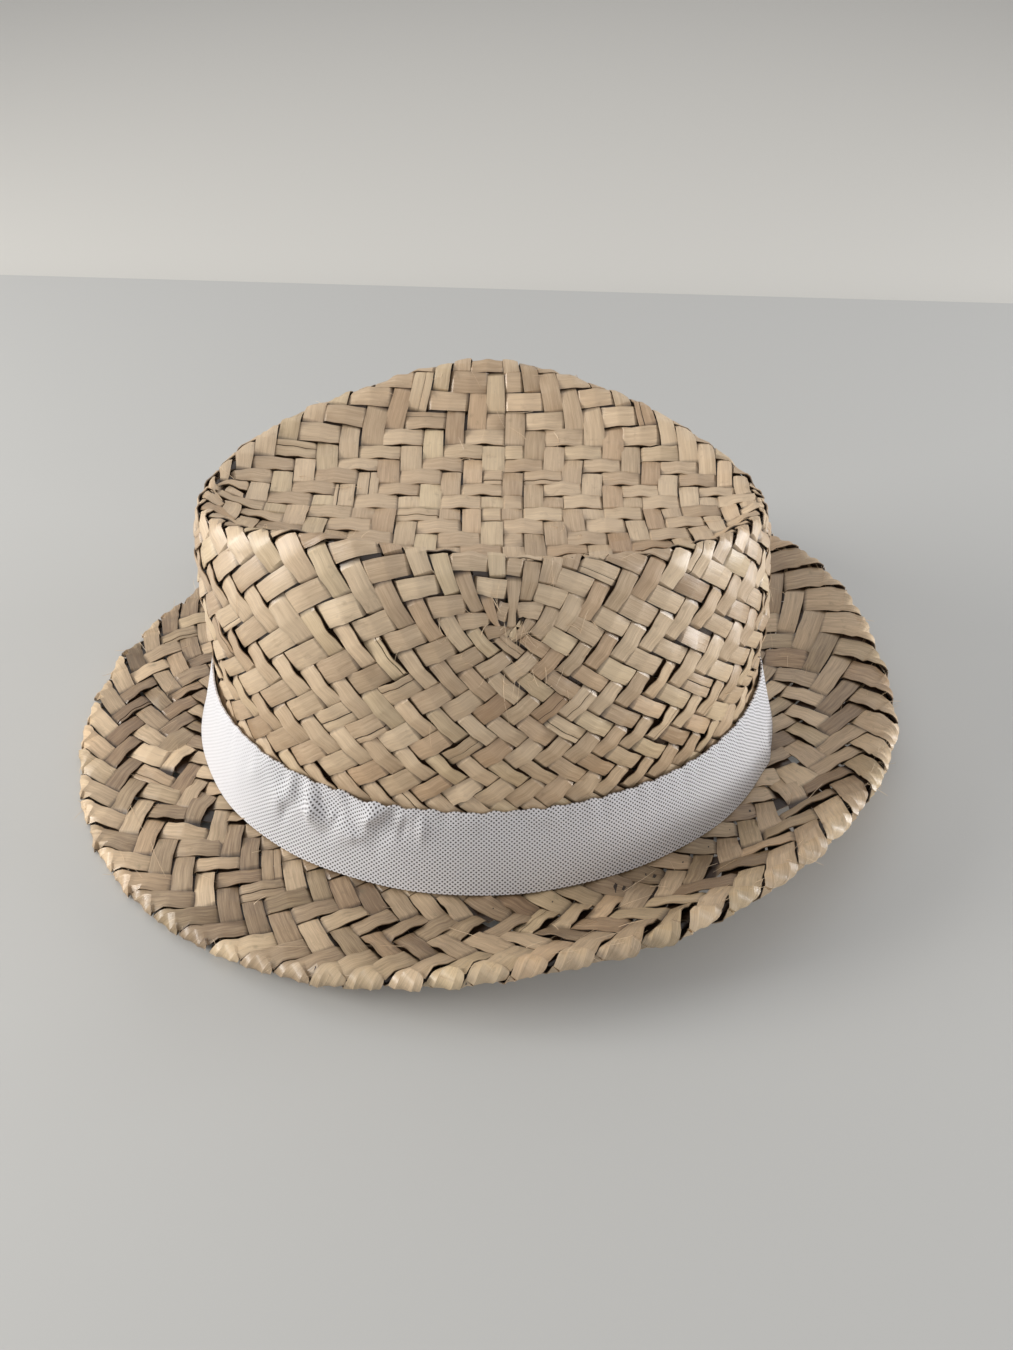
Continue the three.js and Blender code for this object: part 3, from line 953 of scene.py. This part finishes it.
def straw_group():
    """Streaks along a strip of straw: a colour with painted shade, a roughness and a height from its map and
    tone.
    """
    group = bpy.data.node_groups.new("straw_streaks", "ShaderNodeTree")
    for name in ("Pale", "Dark", "Stain"):
        group.interface.new_socket(name, in_out="INPUT", socket_type="NodeSocketColor")
    for name, kind in (("Color", "Color"), ("Roughness", "Float"), ("Height", "Float")):
        group.interface.new_socket(name, in_out="OUTPUT", socket_type="NodeSocket" + kind)
    source, sink = group.nodes.new("NodeGroupInput"), group.nodes.new("NodeGroupOutput")
    nodes = Nodes(group)
    uv = nodes.add("UVMap", {}, uv_map="straw").outputs["UV"]
    tone = nodes.add("Attribute", {}, attribute_name="tone").outputs["Color"]
    parts = nodes.add("SeparateColor", {"Color": tone}).outputs
    # The tone's green channel is painted light: where it is low, the colour gets painted shade.
    bright, painted_light, hue = parts["Red"], parts["Green"], parts["Blue"]

    def noise(along, across, detail, seed):
        place = nodes.add("Mapping", {
            "Vector": uv, "Scale": (along, across, 1), "Location": (seed, seed * 0.7, 0)})
        return nodes.add("TexNoise", {
            "Vector": place.outputs["Vector"], "Scale": 1, "Detail": detail, "Roughness": 0.6}).outputs["Fac"]

    fine = noise(1.2, 55, 4, 3.1)
    broad = noise(0.7, 9, 2, 7.7)
    blotch = noise(2.2, 3, 3, 11.3)
    streak = nodes.maths("ADD", nodes.maths("MULTIPLY", fine, 0.55), nodes.maths("MULTIPLY", broad, 0.45))
    strong = nodes.maths("MULTIPLY", nodes.maths("SUBTRACT", streak, 0.5), 2.0)
    paleness = nodes.add("MapRange", {"Value": nodes.maths("ADD", strong, bright)}).outputs["Result"]
    stain = nodes.add("MapRange", {
        "Value": blotch, "From Min": 0.60, "From Max": 0.78, "To Max": 0.55}).outputs["Result"]
    tint = nodes.add("ValToRGB", {"Fac": hue})
    ramp = tint.color_ramp.elements
    ramp[0].position = 0.06
    ramp[0].color = (1.0, 0.95, 0.91, 1)
    ramp[1].position = 0.96
    ramp[1].color = (0.965, 0.98, 0.935, 1)
    for place in (0.22, 0.74):
        ramp.new(place).color = (1, 1, 1, 1)

    colour = nodes.mix(paleness, source.outputs["Dark"], source.outputs["Pale"])
    colour = nodes.mix(stain, colour, source.outputs["Stain"])
    colour = nodes.mix(1, colour, tint.outputs["Color"], "MULTIPLY")
    # Painted shade: the colour goes towards near black-brown where strips dive under, at their edges and on
    # covered undersides.
    painted_shade = nodes.mix(painted_light, (0.07, 0.045, 0.03, 1), (1, 1, 1, 1))
    colour = nodes.mix(1, colour, painted_shade, "MULTIPLY")
    roughness = nodes.maths("ADD", nodes.maths("MULTIPLY", broad, 0.30), 0.23)
    nodes.fill(sink, {"Color": colour, "Roughness": roughness, "Height": streak})
    return group


def straw_material(name, group, pale, dark, stain):
    material, nodes, shader = new_material(name)
    colours = {"Pale": (*pale, 1), "Dark": (*dark, 1), "Stain": (*stain, 1)}
    straw = nodes.add("Group", colours, node_tree=group).outputs
    bump = nodes.add("Bump", {"Strength": 0.45, "Distance": 0.0004, "Height": straw["Height"]})
    nodes.fill(shader, {
        "Base Color": straw["Color"], "Roughness": straw["Roughness"],
        "Normal": bump.outputs["Normal"], "Specular IOR Level": 0.85})
    return material


DOTS_PER_CM = 9.0
GLARE_AT = 30.5  # along the map, where painted glare washes the dots almost out


def cloth_material():
    material, nodes, shader = new_material("dotted nonwoven cloth")
    uv = nodes.add("UVMap", {}, uv_map="cloth").outputs["UV"]
    turned = nodes.add("Mapping", {
        "Vector": uv, "Rotation": (0, 0, math.radians(45)), "Scale": (DOTS_PER_CM, DOTS_PER_CM, 1)})
    cell = nodes.add("VectorMath", {0: turned.outputs["Vector"]}, operation="FRACTION")
    from_dot = nodes.add("VectorMath", {0: cell.outputs["Vector"], 1: (0.5, 0.5, 0)}, operation="DISTANCE")
    cloth = nodes.add("MapRange", {
        "Value": from_dot.outputs["Value"], "From Min": 0.20, "From Max": 0.33},
        interpolation_type="SMOOTHSTEP").outputs["Result"]
    along = nodes.add("SeparateXYZ", {"Vector": uv}).outputs["X"]
    # Painted highlight: on the band's left the dots fade in colour and in bump, washed out by painted glare.
    from_glare = nodes.maths("ABSOLUTE", nodes.maths("SUBTRACT", along, GLARE_AT))
    dots_kept_by_glare = nodes.add("MapRange", {
        "Value": from_glare, "From Min": 2.2, "From Max": 4.4, "To Min": 0.25},
        interpolation_type="SMOOTHSTEP").outputs["Result"]
    cloth = nodes.maths("MULTIPLY_ADD", nodes.maths("SUBTRACT", cloth, 1.0), dots_kept_by_glare, 1.0)
    fuzz = nodes.add("TexNoise", {"Vector": uv, "Scale": 9, "Detail": 5}).outputs["Fac"]
    height = nodes.maths("MULTIPLY_ADD", fuzz, 0.25, cloth)
    bump = nodes.add("Bump", {"Strength": 0.6, "Distance": 0.0003, "Height": height})
    nodes.fill(shader, {
        "Base Color": nodes.mix(cloth, (0.07, 0.06, 0.058, 1), (0.78, 0.77, 0.79, 1)),
        "Normal": bump.outputs["Normal"], "Roughness": 0.85, "Sheen Weight": 0.25})
    return material


streaks = straw_group()
crown_straw = straw_material(
    "crown straw", streaks, pale=(0.80, 0.615, 0.41), dark=(0.42, 0.28, 0.165), stain=(0.36, 0.25, 0.15))
brim_straw = straw_material(
    "brim straw", streaks, pale=(0.74, 0.555, 0.355), dark=(0.225, 0.145, 0.082), stain=(0.20, 0.16, 0.095))

crown = build_crown(crown_straw)
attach(crown, "root")
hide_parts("crown")

brim = build_brim(brim_straw)
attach(brim, "root")
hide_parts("brim")

fibres = build_fibres(crown_straw)
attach(fibres, "root")

band = build_band(cloth_material())
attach(band, "root")
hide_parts("hat_band")


# -------- floor, light and camera, in metres
TABLE_SIZE, TABLE_TURN, TABLE_EDGE = 4, -0.0528, 0.359  # its turn in radians, and where its far edge lies
LAMPS = (  # name, place, height that it points at, size, watts and colour
    ("left window", (-0.97, -0.11, 0.38), 0.07, (0.5, 0.4), 8.6, (1.0, 0.985, 0.95)),
    ("right window", (1.0, 0.02, 0.18), 0.07, (0.4, 0.2), 6.4, (0.97, 0.985, 1.0)),
    ("ceiling", (-0.10, 0.75, 1.1), 0.05, (2.0, 1.3), 4.4, (1.0, 0.985, 0.96)),
    ("front fill", (0.1, -1.3, 0.9), 0.03, (1.4, 1.0), 2.7, (1.0, 0.99, 0.975)),
)


def add_slab(name, size, place, turn, colour, roughness):
    bpy.ops.mesh.primitive_plane_add(size=size, location=place, rotation=(0, 0, turn))
    plane = bpy.context.object
    plane.name = name
    material, nodes, shader = new_material(name)
    nodes.fill(shader, {"Base Color": (*colour, 1), "Roughness": roughness, "Specular IOR Level": 0.3})
    plane.data.materials.append(material)


def add_lamp(name, place, aim, size, power, colour):
    data = bpy.data.lights.new(name, "AREA")
    data.shape = "RECTANGLE"
    data.size, data.size_y = size
    data.energy = power
    data.color = colour
    lamp = add_object(name, data)
    lamp.location = place
    lamp.rotation_euler = (Vector((0, 0, aim)) - Vector(place)).to_track_quat("-Z", "Y").to_euler()


def stage_and_light():
    half = TABLE_SIZE / 2
    middle = (half * math.sin(TABLE_TURN), TABLE_EDGE - half * math.cos(TABLE_TURN), 0)
    add_slab("table_top", TABLE_SIZE, middle, TABLE_TURN, (0.55, 0.545, 0.525), 0.5)
    add_slab("room_floor", 9, (0, 0, -0.03), 0, (0.70, 0.68, 0.635), 0.7)
    world = bpy.data.worlds.new("room")
    bpy.context.scene.world = world
    world.use_nodes = True
    tree = world.node_tree
    Nodes(tree).fill(tree.nodes["Background"], {"Color": (0.96, 0.97, 1.0, 1), "Strength": 0.40})
    for lamp in LAMPS:
        add_lamp(*lamp)
    bpy.context.scene.view_settings.view_transform = "Standard"


def add_camera():
    pitch, roll = math.radians(43), math.radians(0.3)
    distance, lens, sensor_height = 0.44496, 30.6667, 36
    target = Vector((0.006489, 0.02472, -0.003)) + Vector(CENTRE.tolist()) * MM
    data = bpy.data.cameras.new("camera")
    data.sensor_fit = "VERTICAL"
    data.sensor_height = sensor_height
    data.lens = lens
    camera = add_object("camera", data)
    ahead = Vector((0, math.cos(pitch), -math.sin(pitch)))
    turn = Matrix.Rotation(math.pi / 2 - pitch, 4, "X") @ Matrix.Rotation(roll, 4, "Z")
    camera.matrix_world = Matrix.Translation(target - ahead * distance) @ turn
    bpy.context.scene.camera = camera


stage_and_light()
add_camera()
